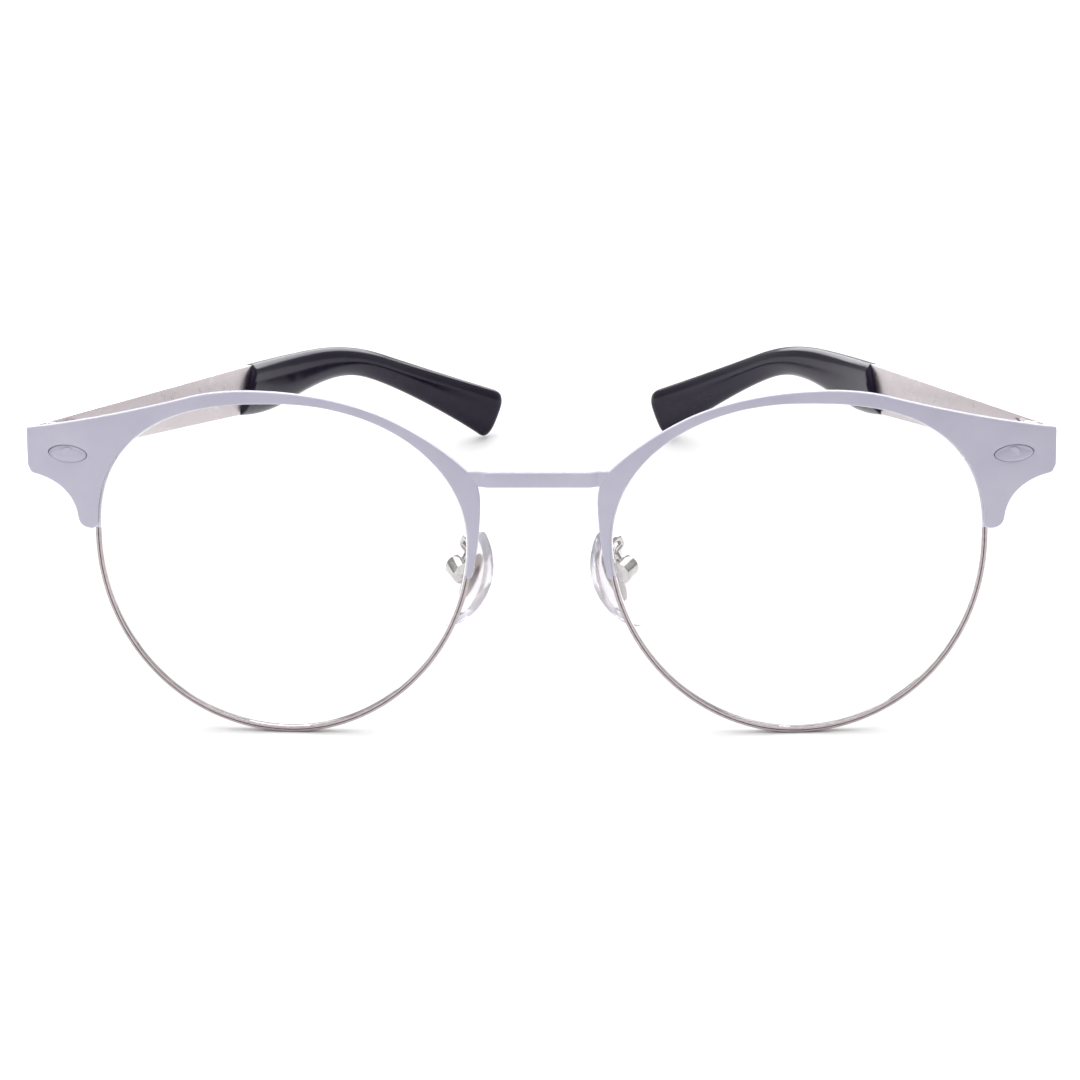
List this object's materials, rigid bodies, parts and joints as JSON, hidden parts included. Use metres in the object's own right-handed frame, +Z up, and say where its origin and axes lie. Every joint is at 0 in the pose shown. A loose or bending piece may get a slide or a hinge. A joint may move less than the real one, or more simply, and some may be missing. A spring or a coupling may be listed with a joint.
{
  "type": "browline combination eyeglasses",
  "caption": "Round-lens browline eyeglasses: painted metal brows over thin wire rims, flat bridge bar, screw-on nose pads and folding flat metal temples with sleeved ear tips.",
  "frame": {"origin": "on the surface the glasses stand on, under the middle of their bounding box", "axes": "+X is to the right of someone facing the front of the glasses, the front faces -Y and the temples run towards +Y, +Z is up"},
  "size_m": [0.1432, 0.1462, 0.0505],
  "materials": {
    "brow_paint": "satin lilac-grey enamel",
    "rim_metal": "satin warm silver plating",
    "blade_metal": "brushed warm silver plating",
    "fitting_metal": "polished plating",
    "tip_acetate": "polished black acetate",
    "lens_clear": "clear, polished, thin anti-reflection coating",
    "pad_silicone": "clear silicone"
  },
  "bodies": {
    "front": {"bridge": "brow_paint", "brow_left": "brow_paint", "brow_right": "brow_paint", "rivet_left": "brow_paint", "rivet_right": "brow_paint", "rim_left": "rim_metal", "rim_right": "rim_metal", "lens_left": "lens_clear", "lens_right": "lens_clear", "endpiece_block_left": "fitting_metal", "endpiece_block_right": "fitting_metal", "rim_lock_upper_left": "fitting_metal", "rim_lock_upper_right": "fitting_metal", "rim_lock_lower_left": "fitting_metal", "rim_lock_lower_right": "fitting_metal", "rim_screw_left": "fitting_metal", "rim_screw_right": "fitting_metal", "hinge_front_leaf_left": "fitting_metal", "hinge_front_leaf_right": "fitting_metal", "hinge_screw_left": "fitting_metal", "hinge_screw_right": "fitting_metal", "pad_arm_left": "fitting_metal", "pad_arm_right": "fitting_metal", "pad_box_left": "fitting_metal", "pad_box_right": "fitting_metal", "pad_screw_left": "fitting_metal", "pad_screw_right": "fitting_metal"},
    "temple_left": {"temple_blade_left": "blade_metal", "temple_tip_left": "tip_acetate", "hinge_temple_leaf_left": "fitting_metal"},
    "temple_right": {"temple_blade_right": "blade_metal", "temple_tip_right": "tip_acetate", "hinge_temple_leaf_right": "fitting_metal"},
    "pad_left": {"nose_pad_left": "pad_silicone", "pad_insert_left": "fitting_metal"},
    "pad_right": {"nose_pad_right": "pad_silicone", "pad_insert_right": "fitting_metal"}
  },
  "joints": [
    {"name": "left_temple_fold", "type": "hinge", "parent": "front", "child": "temple_left", "pos_m": [-0.0683, -0.06235, 0.0407], "axis": [0, 0, -1], "range_deg": [-9, 65]},
    {"name": "right_temple_fold", "type": "hinge", "parent": "front", "child": "temple_right", "pos_m": [0.0683, -0.06235, 0.0407], "axis": [0, 0, 1], "range_deg": [-9, 55]},
    {"name": "left_pad_rock", "type": "hinge", "parent": "front", "child": "pad_left", "pos_m": [-0.01095, -0.06455, 0.0228], "axis": [-0.5177, 0.8192, 0.2469], "range_deg": [-12, 12]},
    {"name": "right_pad_rock", "type": "hinge", "parent": "front", "child": "pad_right", "pos_m": [0.01095, -0.06455, 0.0228], "axis": [0.5177, 0.8192, 0.2469], "range_deg": [-12, 12]}
  ]
}
